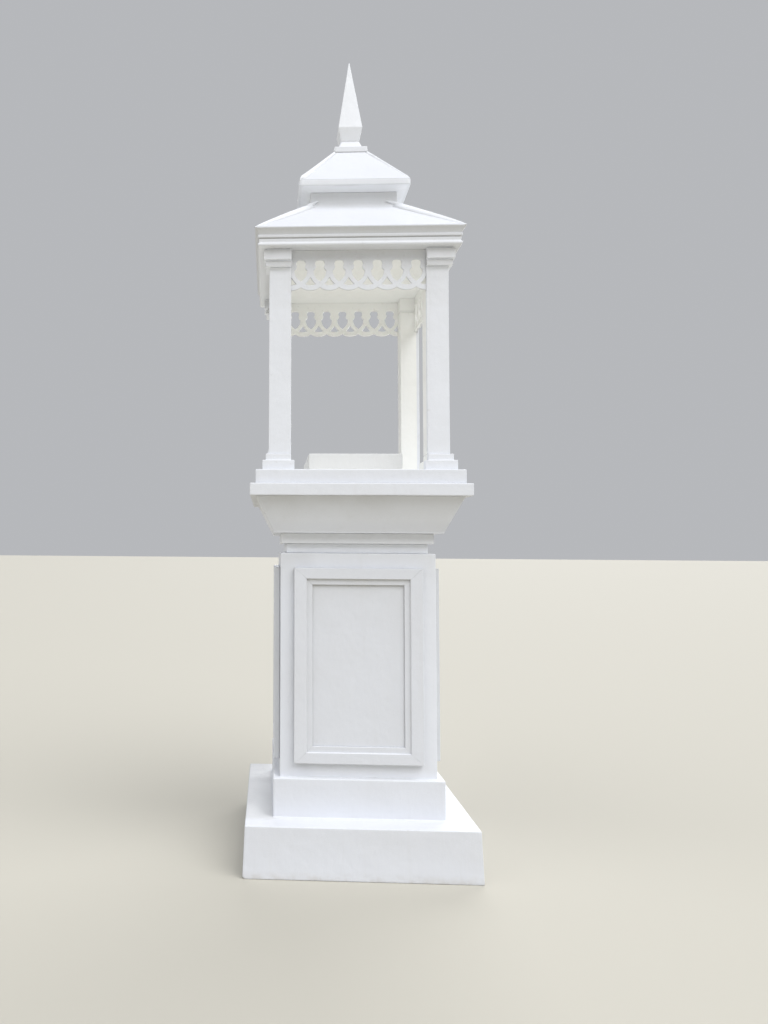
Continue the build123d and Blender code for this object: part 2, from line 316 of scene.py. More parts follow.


# %% [markdown]
# Under ledges and eaves the sky straight above is blocked, and that shade is painted into the
# colour as a yellowish film: painted shade. It could be painted on by hand. Here the finish looks
# for those places itself, by asking how open the sky is straight above each point, and it still
# does so after a ledge has been moved. For a point on a wall half of that sky is open, so only
# what is less than half open counts.

# %% Painted shade where the sky above is blocked
SHELTER_REACH = 0.20
PAINTED_SHADE = (0.41, 0.388, 0.315)
PAINTED_SHADE_MOST = 0.48
ASKED_SHADE_MOST = 0.35


def painted_shade_amount(tree, painted_light_and_shade, asked):
    """How much painted shade lies under ledges and eaves, and on a piece that asks for less than
    none.
    """
    straight_up = tree.nodes.new("ShaderNodeCombineXYZ")
    straight_up.inputs["Z"].default_value = 1.0
    open_above = tree.nodes.new("ShaderNodeAmbientOcclusion")
    open_above.samples = 4
    open_above.inputs["Distance"].default_value = SHELTER_REACH
    tree.links.new(straight_up.outputs["Vector"], open_above.inputs["Normal"])
    covered = work_out(tree, "SUBTRACT", 0.5, open_above.outputs["AO"])
    covered = work_out(tree, "MAXIMUM", covered, 0.0)
    kept = work_out(tree, "SUBTRACT", 1.0, painted_light_and_shade)
    kept = work_out(tree, "MULTIPLY", kept, 2.0 * PAINTED_SHADE_MOST)
    shade = work_out(tree, "MULTIPLY", covered, kept)
    uneven = span(tree, mottle(tree, 6.0, 5.0), 0.3, 0.7, 0.85, 1.15)
    shade = work_out(tree, "MULTIPLY", shade, uneven)
    asked_shade = work_out(tree, "MULTIPLY", asked, -ASKED_SHADE_MOST)
    asked_shade = work_out(tree, "MAXIMUM", asked_shade, 0.0)
    return work_out(tree, "ADD", shade, asked_shade)


# %% [markdown]
# Dirt lies in layers, each laid over the last: soft clouds, faint streaks where rain ran down,
# splashes just above the ground, and specks. Where an arris is rubbed, the grey render shows
# through the paint. Each layer is a noise with marks of its own size. The numbers after it say
# which part of the noise counts, and how strong the layer gets there.

# %% Layers of dirt
DUST = (0.52, 0.49, 0.44)
SPECK = (0.42, 0.40, 0.37)
GREY_RENDER = (0.55, 0.54, 0.52)


def weathered_and_shaded_paint(tree, streak_depth):
    """The coats of paint with painted light and shade, clouds, rain streaks, foot dirt, specks and
    rubbed arrises.
    """
    colour, height, painted_light_and_shade, asked = coats(tree)
    colour = lay_over(tree, colour, PAINTED_SHADE, painted_shade_amount(tree, painted_light_and_shade, asked))
    clouds = span(tree, mottle(tree, 2.2), 0.38, 0.68, 0.0, 0.06)
    colour = lay_over(tree, colour, DUST, clouds)
    runs = mottle(tree, 1.0, 5.0, (26.0, 26.0, 1.6))
    streaks = span(tree, runs, 0.55, 0.78, 0.0, streak_depth)
    colour = lay_over(tree, colour, DUST, streaks)
    low_down = span(tree, height, 0.0, 0.045, 1.0, 0.0)
    blotches = span(tree, mottle(tree, 24.0, 5.0), 0.35, 0.75, 0.05, 0.45)
    foot_dirt = work_out(tree, "MULTIPLY", low_down, blotches)
    colour = lay_over(tree, colour, DUST, foot_dirt)
    dots = span(tree, mottle(tree, 260.0, 1.0), 0.78, 0.82, 0.0, 0.30)
    colour = lay_over(tree, colour, SPECK, dots)
    arris = tree.nodes.new("ShaderNodeAttribute")
    arris.attribute_name = "arris"
    sharp = span(tree, arris.outputs["Fac"], 0.6, 1.0)
    rubbed = span(tree, mottle(tree, 60.0, 4.0), 0.60, 0.72, 0.0, 0.22)
    worn = work_out(tree, "MULTIPLY", sharp, rubbed)
    return lay_over(tree, colour, GREY_RENDER, worn)


# %% [markdown]
# On render the roller left a stipple, the trowel under it left short marks, and the wall itself
# is never quite flat. Three layers of relief give that, the broadest first. None is deeper than
# four millimetres, so bump in the finish is enough for them, and the mesh stays light.

# %% Paint on render
painted_render, tree = new_finish("painted_render")
render_surface = tree.nodes["Principled BSDF"]
render_colour = weathered_and_shaded_paint(tree, 0.07)
tree.links.new(render_colour, render_surface.inputs["Base Color"])
waves = roughen(tree, mottle(tree, 9.0, 2.0), 0.004)
trowel = roughen(tree, mottle(tree, 38.0, 3.0, (1.0, 1.0, 0.5)), 0.0009, waves)
stipple = roughen(tree, mottle(tree, 430.0, 2.0), 0.00035, trowel)
tree.links.new(stipple, render_surface.inputs["Normal"])
sheen = span(tree, mottle(tree, 6.0, 4.0), 0.3, 0.7, 0.46, 0.62)
tree.links.new(sheen, render_surface.inputs["Roughness"])
print("finish", painted_render.name, "nodes", len(tree.nodes))

# %% [markdown]
# The fretted boards are thin, and their paint went on with a brush and has no trowel marks under
# it. The brush marks have to run along every board, whichever way it faces, so the noise is only
# squeezed in height and not in either level direction.

# %% Paint on the boards
painted_board, tree = new_finish("painted_board")
board_surface = tree.nodes["Principled BSDF"]
board_colour = weathered_and_shaded_paint(tree, 0.05)
tree.links.new(board_colour, board_surface.inputs["Base Color"])
brush = roughen(tree, mottle(tree, 18.0, 4.0, (1.0, 1.0, 26.0)), 0.0005)
grain = roughen(tree, mottle(tree, 300.0, 2.0), 0.00015, brush)
tree.links.new(grain, board_surface.inputs["Normal"])
gloss = span(tree, mottle(tree, 14.0, 3.0), 0.3, 0.7, 0.38, 0.5)
tree.links.new(gloss, board_surface.inputs["Roughness"])
print("finish", painted_board.name, "nodes", len(tree.nodes))

# %% [markdown]
# ## Square work
#
# Nearly every block of the pedestal and the roofs is square and stands on the one axis, so one
# outline drawn from the axis outwards describes it, the way a running mould does for plaster.
# The outline is carried round the square as rings of points. Its corners are eased first, and
# so are the four upright arrises, because no trowelled edge is a knife edge. Long runs are
# divided, which leaves points for the slight waves that a hand-floated face has.

# %% Ease and divide an outline
LONGEST_RUN = 0.055
HOLD = 0.006
STRAIGHT = radians(168)
MOST_OF_RUN = 0.4


def ease(outline, reach):
    """Replace each corner of an outline by a small curve that starts a reach away from it."""
    points = [Vector(point) for point in outline]
    eased = [points[0]]
    for before, corner, after in zip(points, points[1:], points[2:]):
        back, on = before - corner, after - corner
        if back.angle(on) > STRAIGHT:
            eased.append(corner)
            continue
        near = min(reach, MOST_OF_RUN * back.length, MOST_OF_RUN * on.length)
        start = corner + back.normalized() * near
        stop = corner + on.normalized() * near
        for part in (0.0, 0.33, 0.67, 1.0):
            bent = start * (1 - part) ** 2 + corner * 2 * part * (1 - part) + stop * part**2
            eased.append(bent)
    eased.append(points[-1])
    return eased


def divide(outline, longest=LONGEST_RUN):
    """Put points along the long runs of an outline, the first and last held close to its ends."""
    divided = [outline[0]]
    for start, stop in zip(outline, outline[1:]):
        run = (stop - start).length
        if run > 3 * HOLD:
            inner = run - 2 * HOLD
            count = max(1, round(inner / longest))
            for step in range(count + 1):
                divided.append(start.lerp(stop, (HOLD + inner * step / count) / run))
        divided.append(stop)
    return divided


def side_marks(half, longest=LONGEST_RUN):
    """Give where the points along one side of a square fall, as parts from -1 to 1."""
    along = divide([Vector((-half, 0.0)), Vector((half, 0.0))], longest)
    return [point.x / half for point in along]


print("one eased corner has", len(ease([(0, 0), (1, 0), (1, 1)], 0.1)) - 2, "points")
print("a side of one metre has", len(side_marks(0.5)), "points")

# %% Rings of points and the faces between them
ARRIS = 0.0045


def ring_points(half, height, marks, arris):
    """Points of one level of a square block, anticlockwise from the front left corner."""
    bend = min(arris, half * 0.5)
    straight = half - bend
    points = []
    for quarter in range(4):
        side = [(straight * mark, -half) for mark in marks]
        for angle in (-60, -30):
            sideways = straight + bend * cos(radians(angle))
            forwards = -straight + bend * sin(radians(angle))
            side.append((sideways, forwards))
        turn = Matrix.Rotation(quarter * pi / 2, 3, "Z")
        points += [turn @ Vector((x, y, height)) for x, y in side]
    return points


def skin(shape, rings):
    """Lay faces between each ring of points and the next."""
    for ring, following in zip(rings, rings[1:]):
        for here in range(len(ring)):
            on = (here + 1) % len(ring)
            shape.faces.new((ring[here], ring[on], following[on], following[here]))


def close_ends(shape, rings):
    """Close the first and the last ring with one face each."""
    shape.faces.new(list(reversed(rings[0])))
    shape.faces.new(rings[-1])


print("one level has", len(ring_points(0.5, 0.0, side_marks(0.5), ARRIS)), "points")

# %% Carry an outline round the square
def run_round(outline, arris=ARRIS, reach=ARRIS):
    """Make the mesh of a square block from its outline, foot first, as (half width, height)."""
    path = divide(ease(outline, reach))
    marks = side_marks(max(point.x for point in path))
    shape = bmesh.new()
    rings = []
    for point in path:
        rings.append([shape.verts.new(p) for p in ring_points(point.x, point.y, marks, arris)])
    skin(shape, rings)
    close_ends(shape, rings)
    return shape


# %% [markdown]
# ## Making a mesh into a piece
#
# No face that was floated by hand is flat, and its waves show in the outline. So the points of
# every piece are pushed by a slow noise, less than a millimetre for most, and kept inside the box
# of the plain solid, so that the sizes stay true. A displace modifier could push them, but it
# wouldn't stop at the box. The noise starts from a fixed number, and every run gives the same
# waves. Points that lie on an edge also get a mark, which the paint uses to show rubbed arrises.

# %% Float the faces and mark the arrises
FLOAT_DEPTH = 0.0007
SLOW_WAVES = 3.1
QUICK_WAVES = 14.0
QUICK_PART = 0.4
ELSEWHERE = Vector((7.0, 3.0, 1.0))
EDGE_ANGLE = radians(9)

noise.seed_set(3)


def hand_float(shape, amount, low, high):
    """Push the points by a slow noise, but never outside the box between two corners."""
    for vert in shape.verts:
        slow = noise.noise_vector(vert.co * SLOW_WAVES)
        quick = noise.noise_vector(vert.co * QUICK_WAVES + ELSEWHERE)
        moved = vert.co + (slow + quick * QUICK_PART) * amount
        for axis in range(3):
            moved[axis] = min(max(moved[axis], low[axis]), high[axis])
        vert.co = moved


def mark_arrises(shape):
    """Store 1 on points where the faces turn sharply and 0 on flat ground."""
    mark = shape.verts.layers.float.new("arris")
    for vert in shape.verts:
        turned = [edge.calc_face_angle(0.0) for edge in vert.link_edges]
        vert[mark] = 1.0 if turned and max(turned) > EDGE_ANGLE else 0.0


print("push at one point", [round(v, 3) for v in noise.noise_vector(ELSEWHERE)])

# %% [markdown]
# The rest is the same for every piece too. How much painted light or painted shade its paint
# carries goes onto its points, either as one number or as a function that gives a number for
# each place. Weighted normals keep the flat faces flat in the light although all faces are
# smooth. Then the piece takes its finish and the place of its solid.

# %% Hand a piece over
def make_piece(name, shape, finish, box, amount=FLOAT_DEPTH, painted_light_and_shade=0.0):
    """Turn a shape into a finished piece. Its painted light and shade may be a number or depend on
    the place.
    """
    hand_float(shape, amount, *box)
    bmesh.ops.recalc_face_normals(shape, faces=shape.faces)
    mark_arrises(shape)
    light_and_shade_layer = shape.verts.layers.float.new("painted_light_and_shade")
    for vert in shape.verts:
        vert[light_and_shade_layer] = painted_light_and_shade(vert.co) if callable(painted_light_and_shade) else painted_light_and_shade
    for face in shape.faces:
        face.smooth = True
    mesh = bpy.data.meshes.new(name)
    shape.to_mesh(mesh)
    shape.free()
    mesh.materials.append(finish)
    piece = bpy.data.objects.new(name, mesh)
    scene.collection.objects.link(piece)
    even = piece.modifiers.new("even_shading", "WEIGHTED_NORMAL")
    even.keep_sharp = True
    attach(piece, "root")
    print(name, "faces", len(mesh.polygons))
    return piece


def masonry(name, shape, amount=FLOAT_DEPTH, painted_light_and_shade=0.0):
    """Put a painted masonry piece in the place of the plain solid of the same name."""
    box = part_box(name)
    piece = make_piece(
        name + "_render", shape, painted_render, box, amount, painted_light_and_shade)
    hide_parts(name)


# %% [markdown]
# ## Plinth
#
# The plinth is a low wide block whose sides lean in by a few millimetres, so the half width of
# its head is a number of its own. One lower corner has lost a flake where it stands on the
# ground. A sculpted dent would do, but a slanting cut through the mesh leaves the same little
# broken face, and the cut can be used again. Outlines start a little way out from the axis,
# because a ring of points can't have no size at all.

# %% Plinth with its lost flake
CORE = 0.02
PLINTH_HEAD = 0.508
FLAKE = (0.004, 0.007, 0.004)
FLAKE_FACING = (-1.0, -0.7, -0.8)
PLINTH_TOP = 0.215
LEFT_OF_BODY = -0.36
FRONT_OF_BODY = -0.40


def heights(name):
    """Foot, head and half width of a square solid on the axis."""
    low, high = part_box(name)
    return low[2], high[2], high[0]


def break_off(shape, at, facing):
    """Cut off what lies beyond a plane and close the break."""
    parts = shape.verts[:] + shape.edges[:] + shape.faces[:]
    cut = bmesh.ops.bisect_plane(
        shape, geom=parts, dist=1e-5, plane_co=at, plane_no=Vector(facing), clear_outer=True)
    rim = [part for part in cut["geom_cut"] if isinstance(part, bmesh.types.BMEdge)]
    bmesh.ops.edgeloop_fill(shape, edges=rim)


def plinth_shading(place):
    """Painted shade: the plinth's top is painted darker, most of all left of the body, where the
    body casts its shadow, and its sides a little darker.
    """
    if place.z < PLINTH_TOP:
        return -0.05
    return -0.75 if place.x < LEFT_OF_BODY and place.y > FRONT_OF_BODY else -0.15


foot, head, half = heights("plinth")
plinth_outline = [(CORE, foot), (half, foot), (PLINTH_HEAD, head), (CORE, head)]
plinth_shape = run_round(plinth_outline, 0.006, 0.005)
break_off(plinth_shape, (-half + FLAKE[0], -half + FLAKE[1], FLAKE[2]), FLAKE_FACING)
masonry("plinth", plinth_shape, painted_light_and_shade=plinth_shading)

# %% [markdown]
# ## Step, body, neck, slabs and frieze
#
# The other square blocks are upright, so one loop over their names makes them all, from the size
# of each plain solid. Cubes with a bevel would do, but they have no points along their faces for
# the waves. The number beside a name says how much lighter its paint is made, as painted light.
# On the body the left edge is painted darker, as painted shade, so a function gives its number
# from the place.

# %% Plain blocks
LEFT_STRIP = -0.22


def body_shading(place):
    """Painted shade: the body is painted darker along its left edge than elsewhere."""
    return 0.05 if place.x < LEFT_STRIP else 0.33


PLAIN_BLOCKS = {"sub_base": 0.13, "body": body_shading, "neck": 0.83, "neck_band": 0.68}
PLAIN_BLOCKS |= {"lower_slab": 0.22, "upper_slab": 0.18, "frieze": 0.5}
for name, painted_light_and_shade in PLAIN_BLOCKS.items():
    foot, head, half = heights(name)
    outline = [(CORE, foot), (half, foot), (half, head), (CORE, head)]
    masonry(name, run_round(outline), painted_light_and_shade=painted_light_and_shade)

# %% [markdown]
# ## Raised panels
#
# Each side of the body carries a raised frame round a field that lies two shallow steps lower.
# The frame is four strips of moulding, cut on the slant and stuck on, and under the paint the
# cuts still show as hairlines. One ring would be quicker to make, but would have no cuts. So each
# strip is made by itself from the moulding's section, and sinks a little just before its cuts.
# The upright strips are slightly wider than the level ones, so a point of the section stands at
# two distances from the panel's edges.

# %% Section of the moulding
FRAME_WIDE = 0.056
FRAME_HIGH = 0.049
LEDGE = 0.027
LEDGE_DEEP = 0.009
MOULDING_EASE = 0.0025


def moulding_section(thick):
    """The moulding from the panel's edge inwards, as (distance in, height above the wall)."""
    inner = FRAME_WIDE + LEDGE
    ledge = thick - LEDGE_DEEP
    outline = [(0.0, 0.0), (0.0, thick), (FRAME_WIDE, thick), (FRAME_WIDE, ledge)]
    outline += [(inner, ledge), (inner, 0.0)]
    return divide(ease(outline, MOULDING_EASE), 0.03)


def level_distance(distance):
    """The same point's distance from the panel's upper or lower edge."""
    if distance < FRAME_WIDE:
        return distance * FRAME_HIGH / FRAME_WIDE
    return distance - FRAME_WIDE + FRAME_HIGH


print("points across the moulding", len(moulding_section(0.027)))

# %% One strip, cut at both ends
CUT_HALF = 0.0012
CUT_DEEP = 0.0003
CUT_GAP = 0.0001


def strip(shape, starts, stops, section):
    """Add a strip between two slanting cuts, given the section's points on each cut."""
    count = max(2, round((stops[0] - starts[0]).length / LONGEST_RUN))
    stations = [(0.0, CUT_GAP, CUT_DEEP), (0.0, CUT_HALF, 0.0)]
    stations += [(step / count, 0.0, 0.0) for step in range(1, count)]
    stations += [(1.0, -CUT_HALF, 0.0), (1.0, -CUT_GAP, CUT_DEEP)]
    rows = []
    for part, metres, sunk in stations:
        row = []
        for start, stop, (_, high) in zip(starts, stops, section):
            point = start.lerp(stop, part) + (stop - start).normalized() * metres
            row.append(shape.verts.new(point - Vector((0.0, max(0.0, high - sunk), 0.0))))
        rows.append(row)
    skin(shape, rows)
    close_ends(shape, rows)


# %% Blocks with eased edges
def round_edges(shape, edges, reach):
    """Ease edges with a small bevel of three faces."""
    bmesh.ops.bevel(shape, geom=edges, offset=reach, segments=3, profile=0.5, affect="EDGES")


def block(low, high, reach):
    """Make a rectangular block between two corners, with eased edges."""
    shape = bmesh.new()
    size = Vector(high) - Vector(low)
    middle = (Vector(high) + Vector(low)) / 2
    where = Matrix.Translation(middle) @ Matrix.Diagonal((*size, 1.0))
    bmesh.ops.create_cube(shape, size=1.0, matrix=where)
    round_edges(shape, shape.edges[:], reach)
    return shape


def saw_up(shape):
    """Divide a shape's faces along evenly spaced planes, so that they can be floated by hand."""
    for axis in range(3):
        places = [vert.co[axis] for vert in shape.verts]
        lowest, size = min(places), max(places) - min(places)
        count = round(size / LONGEST_RUN)
        for step in range(1, count):
            at, facing = Vector(), Vector()
            at[axis] = lowest + size * step / count
            facing[axis] = 1.0
            parts = shape.verts[:] + shape.edges[:] + shape.faces[:]
            bmesh.ops.bisect_plane(shape, geom=parts, dist=1e-5, plane_co=at, plane_no=facing)


# %% Panel on each side
FIELD_EASE = 0.0008


def panel_shape():
    """The front panel: four strips and the field between them."""
    low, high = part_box("front_panel")
    wall, thick = high[1], high[1] - low[1]
    section = moulding_section(thick)
    corners = []
    for x, z, way_x, way_z in ((low[0], low[2], 1, 1), (high[0], low[2], -1, 1),
                               (high[0], high[2], -1, -1), (low[0], high[2], 1, -1)):
        slant = []
        for deep, _ in section:
            slant.append(Vector((x + way_x * deep, wall, z + way_z * level_distance(deep))))
        corners.append(slant)
    shape = bmesh.new()
    for index in range(4):
        strip(shape, corners[index], corners[(index + 1) % 4], section)
    side_in, level_in = FRAME_WIDE + LEDGE, FRAME_HIGH + LEDGE
    field_low = (low[0] + side_in, wall - thick + 2 * LEDGE_DEEP, low[2] + level_in)
    field_high = (high[0] - side_in, wall, high[2] - level_in)
    field = block(field_low, field_high, FIELD_EASE)
    saw_up(field)
    field_mesh = bpy.data.meshes.new("field")
    field.to_mesh(field_mesh)
    field.free()
    shape.from_mesh(field_mesh)
    return shape


SIDE_TURNS = {"front": 0, "right": 1, "back": 2, "left": 3}
# Every panel is painted a touch darker, as painted shade.
for side, quarters in SIDE_TURNS.items():
    turned = panel_shape()
    turned.transform(Matrix.Rotation(quarters * pi / 2, 4, "Z"))
    masonry(side + "_panel", turned, 0.0005, -0.05)

# %% [markdown]
# ## Bell
#
# The bell spreads from the pedestal out to the slabs: a thin lip at its foot, and the slanting
# flare that reaches up to the slab. A cube widened at its head would come close, but one run of
# the mould eases the corners as well. The flare faces down and forwards, so it stands in its own
# shade in the picture.

# %% Bell under the slabs
BELL = [(CORE, 1.498), (0.3875, 1.498), (0.3875, 1.504), (0.4665, 1.663), (CORE, 1.663)]
SHADED_BELOW = 1.53


def bell_shading(place):
    """Painted shade and light: the bell is painted darker at its lip and lighter above it."""
    return -0.12 if place.z < SHADED_BELOW else 0.28


masonry("bell", run_round(BELL, 0.0045, 0.0025), painted_light_and_shade=bell_shading)

# %% [markdown]
# ## Columns, bases, capitals and the offering step
#
# A base or a capital is not square about the axis: its steps stand out on the outer faces only.
# The plain solid has that shape already, so its own faces are copied, joined up, and eased
# along their edges with a bevel. The groove in the capital is only a few millimetres high, so
# its edges are eased less.

# %% Copies of the plain solids
def copied(name, reach):
    """Copy a plain solid's faces, join them up, ease the edges and divide the faces."""
    shape = bmesh.new()
    shape.from_mesh(solids[name].data)
    bmesh.ops.remove_doubles(shape, verts=shape.verts, dist=1e-5)
    bmesh.ops.dissolve_limit(shape, angle_limit=radians(1), verts=shape.verts, edges=shape.edges)
    sharp = [edge for edge in shape.edges if edge.calc_face_angle(0.0) > radians(30)]
    round_edges(shape, sharp, reach)
    saw_up(shape)
    return shape


print("solids to copy", len([name for name in solids if "column" in name or "capital" in name]))

# %% Columns, bases, capitals and step
LOWER_BLOCK_FOOT = 2.7298
LOWER_BLOCK_HEAD = 2.7515
UPPER_BLOCK_FOOT = 2.7586
UPPER_BLOCK_HEAD = 2.8013
NEAR_CAPITAL = 2.70


def capital_shading(place):
    """Painted shade and light: the lower block is painted darker, the upper block lighter, and the
    rest, the grooves too, lightest of all.
    """
    if LOWER_BLOCK_FOOT < place.z < LOWER_BLOCK_HEAD:
        return -0.25
    return 0.42 if UPPER_BLOCK_FOOT < place.z < UPPER_BLOCK_HEAD else 1.0


def column_shading(place):
    """Painted light: the columns are painted lighter close to their capitals."""
    return 0.8 if place.z > NEAR_CAPITAL else 0.33


# Bases are painted lighter, as painted light, and columns and capitals take painted light and
# shade from the place.
for corner in ("front_left", "front_right", "back_left", "back_right"):
    masonry(corner + "_column_base", copied(corner + "_column_base", 0.003), 0.0008, 0.4)
    masonry(corner + "_column", copied(corner + "_column", 0.004), 0.0009, column_shading)
    masonry(corner + "_capital", copied(corner + "_capital", 0.0014), 0.0006, capital_shading)
# The step is painted darker, as painted shade.
masonry("offering_step", copied("offering_step", 0.004), painted_light_and_shade=-0.5)

# %% [markdown]
# ## Fretted boards
#
# The boards under the ceiling are what makes this shrine light. Each is sawn from a thin sheet:
# seven vase shaped holes, a three-cornered hole below each post between them, half a one at each
# column, and a scalloped lower edge whose cusps stand under the vases. The holes could be cut
# out of a block one by one, but a flat curve with holes is the shorter way to sawn work, because
# Blender fills it, gives it its thickness and rounds the sawn edges. Every outline is drawn with
# arcs through three points, as with a bent lath.

# %% Arcs through three points
def arc(first, second, third, pieces=8):
    """Points along the arc from the first through the second to the third, without the last."""
    (ax, ay), (bx, by), (cx, cy) = first, second, third
    cross = 2 * (ax * (by - cy) + bx * (cy - ay) + cx * (ay - by))
    a_far, b_far, c_far = ax * ax + ay * ay, bx * bx + by * by, cx * cx + cy * cy
    centre = Vector(((a_far * (by - cy) + b_far * (cy - ay) + c_far * (ay - by)) / cross,
                     (a_far * (cx - bx) + b_far * (ax - cx) + c_far * (bx - ax)) / cross))
    start = Vector(first) - centre
    sweep = start.angle_signed(Vector(third) - centre)
    by_way = start.angle_signed(Vector(second) - centre)
    if sweep * by_way < 0:
        sweep -= 2 * pi * (1 if sweep > 0 else -1)
    points = []
    for step in range(pieces):
        points.append(tuple(centre + Matrix.Rotation(-sweep * step / pieces, 2) @ start))
    return points


print("half of a quarter circle ends at", arc((1, 0), (0.7071, 0.7071), (0, 1), 2)[1])

# %% Sawn outlines, heights counted down from the ceiling
VASES = 7
FRET_HIGH = 0.188
SCALLOP = 0.014
HEAD_TOP = (0.0, -0.045)
HEAD_CORNER = (0.0160, -0.0475)
HEAD_SIDE = (0.0218, -0.059)
WAIST = (0.0188, -0.074)
ABOVE_SHOULDER = (0.0213, -0.085)
SHOULDER = (0.0298, -0.0935)
BELLY = (0.0269, -0.113)
VASE_POINT = (0.0, -0.147)
SPUR_TOP = (0.0, -0.126)
SPUR_FLANK = (0.0102, -0.142)
SPUR_CORNER = (0.0250, -0.1585)
SPUR_FOOT = (0.0, -0.164)


def mirrored(point):
    """The same point on the other side of an upright axis."""
    return (-point[0], point[1])


def vase(x):
    """Vase shaped hole: a belly up to the shoulders, a slight waist and a flat round head."""
    right = arc(VASE_POINT, BELLY, SHOULDER, 14) + arc(SHOULDER, ABOVE_SHOULDER, WAIST, 6)
    right += arc(WAIST, HEAD_SIDE, HEAD_CORNER, 10)
    top = arc(HEAD_CORNER, HEAD_TOP, mirrored(HEAD_CORNER), 6) + [mirrored(HEAD_CORNER)]
    left = [mirrored(point) for point in reversed(right[1:])]
    return [(x + out, up) for out, up in right + top + left]


def spur_sides():
    """The right flank of a three-cornered hole, and its foot from right to left."""
    flank = arc(SPUR_TOP, SPUR_FLANK, SPUR_CORNER, 6)
    return flank, arc(SPUR_CORNER, SPUR_FOOT, mirrored(SPUR_CORNER))


def spur(x):
    """Three-cornered hole below a post."""
    flank, foot = spur_sides()
    left = [mirrored(point) for point in reversed(flank[1:])]
    return [(x + out, up) for out, up in flank + foot + [mirrored(SPUR_CORNER)] + left]


print("points in a vase", len(vase(0.0)), "and in a three-cornered hole", len(spur(0.0)))

# %% Outline of a board, which takes the points of half a foot at each end
HALF_FOOT = 5


def board_edge(half, axes):
    """The board's own outline: straight on top, half a spur at each end, scalloped below."""
    cusp = -FRET_HIGH + SCALLOP
    quarter_down = -FRET_HIGH + SCALLOP / 4
    midway = (axes[0] + half) / 2
    flank, foot = spur_sides()
    notch = flank + foot[:HALF_FOOT]
    points = [(half, 0.0), (-half, 0.0)] + [(out - half, up) for out, up in notch]
    points += arc((-half, -FRET_HIGH), (-half + midway, quarter_down), (axes[0], cusp))
    for left, right in zip(axes, axes[1:]):
        points += arc((left, cusp), ((left + right) / 2, -FRET_HIGH), (right, cusp), 14)
    points += arc((axes[-1], cusp), (half - midway, quarter_down), (half, -FRET_HIGH))
    return points + [(half, -FRET_HIGH)] + [(half - out, up) for out, up in reversed(notch)]


# %% Boards from their outlines
SAWN_EDGE = 0.0014


def board_shape():
    """The front board as a mesh, with its sawn edges rounded by the paint."""
    low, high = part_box("front_fret")
    half, thick = high[0], high[1] - low[1]
    pitch = 2 * half / VASES
    axes = [(index - (VASES - 1) / 2) * pitch for index in range(VASES)]
    outlines = [board_edge(half, axes)]
    outlines += [vase(x) for x in axes]
    outlines += [spur(x + pitch / 2) for x in axes[:-1]]
    sawn = bpy.data.curves.new("sawn_lines", "CURVE")
    sawn.dimensions = "2D"
    sawn.fill_mode = "BOTH"
    sawn.extrude = thick / 2 - SAWN_EDGE
    sawn.bevel_depth = SAWN_EDGE
    sawn.bevel_resolution = 2
    sawn.offset = -SAWN_EDGE
    for outline in outlines:
        line = sawn.splines.new("POLY")
        line.points.add(len(outline) - 1)
        for point, (x, y) in zip(line.points, outline):
            point.co = (x, y, 0.0, 1.0)
        line.use_cyclic_u = True
    drawing = bpy.data.objects.new("sawn_lines", sawn)
    scene.collection.objects.link(drawing)
    bpy.context.view_layer.update()
    evaluated = drawing.evaluated_get(bpy.context.evaluated_depsgraph_get())
    mesh = bpy.data.meshes.new_from_object(evaluated)
    bpy.data.objects.remove(drawing)
    shape = bmesh.new()
    shape.from_mesh(mesh)
    bmesh.ops.remove_doubles(shape, verts=shape.verts, dist=1e-6)
    stand_up = Matrix.Rotation(pi / 2, 4, "X")
    shape.transform(Matrix.Translation((0.0, (low[1] + high[1]) / 2, high[2])) @ stand_up)
    return shape


# The boards are painted lighter, as painted light.
for side, quarters in SIDE_TURNS.items():
    turned = board_shape()
    turned.transform(Matrix.Rotation(quarters * pi / 2, 4, "Z"))
    name = side + "_fret"
    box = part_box(name)
    board = make_piece(
        name + "_board", turned, painted_board, box, 0.0003, 0.4)
    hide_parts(name)

# %% [markdown]
# ## Cornice and eaves
#
# Both eaves are plaster run in place with a shaped mould. Stacked blocks would give the steps but
# not the hollows, so each eave is one outline too. The lower one starts at the flat ceiling, and
# has a band with a bead at its foot, a dark groove, a fillet, and a hollow cove that reaches out
# to the edge of the roof. The upper one has a hollow underside, a flat lip and an upright face.
# Read from the foot upwards, each outline below gives the cuts of its mould.

# %% Lower cornice
COVE_LIP = 0.478
GROOVE_TOP = 2.8455
COVE_FOOT = 2.8635
UNDERSIDE = 2.810
LEFT_UNDERSIDE = -0.40

bead = arc((0.4562, 2.809), (0.465, 2.818), (0.4600, 2.8275), 9)
waist = arc((0.4600, 2.8275), (0.4590, 2.832), (0.4600, 2.838), 4)
cove = arc((0.4622, 2.8635), (0.4688, 2.8785), (COVE_LIP, 2.891), 8)
CORNICE = [(CORE, 2.809), *bead, *waist, (0.4600, 2.838), (0.4605, 2.845), (0.4565, 2.845)]
CORNICE += [(0.4565, 2.850), (0.4640, 2.850), (0.4650, 2.857), (0.4645, 2.8625), *cove]
CORNICE += [(COVE_LIP, 2.891), (COVE_LIP, 2.896), (CORE, 2.896)]


def cornice_shading(place):
    """Painted light and shade: the left underside is painted lightest, the band lighter, the
    fillet a little lighter and the cove darker.
    """
    if place.z > GROOVE_TOP:
        return 0.15 if place.z < COVE_FOOT else -0.05
    return 0.95 if place.z < UNDERSIDE and place.x < LEFT_UNDERSIDE else 0.42


masonry("cornice", run_round(CORNICE, 0.004, 0.0016), painted_light_and_shade=cornice_shading)

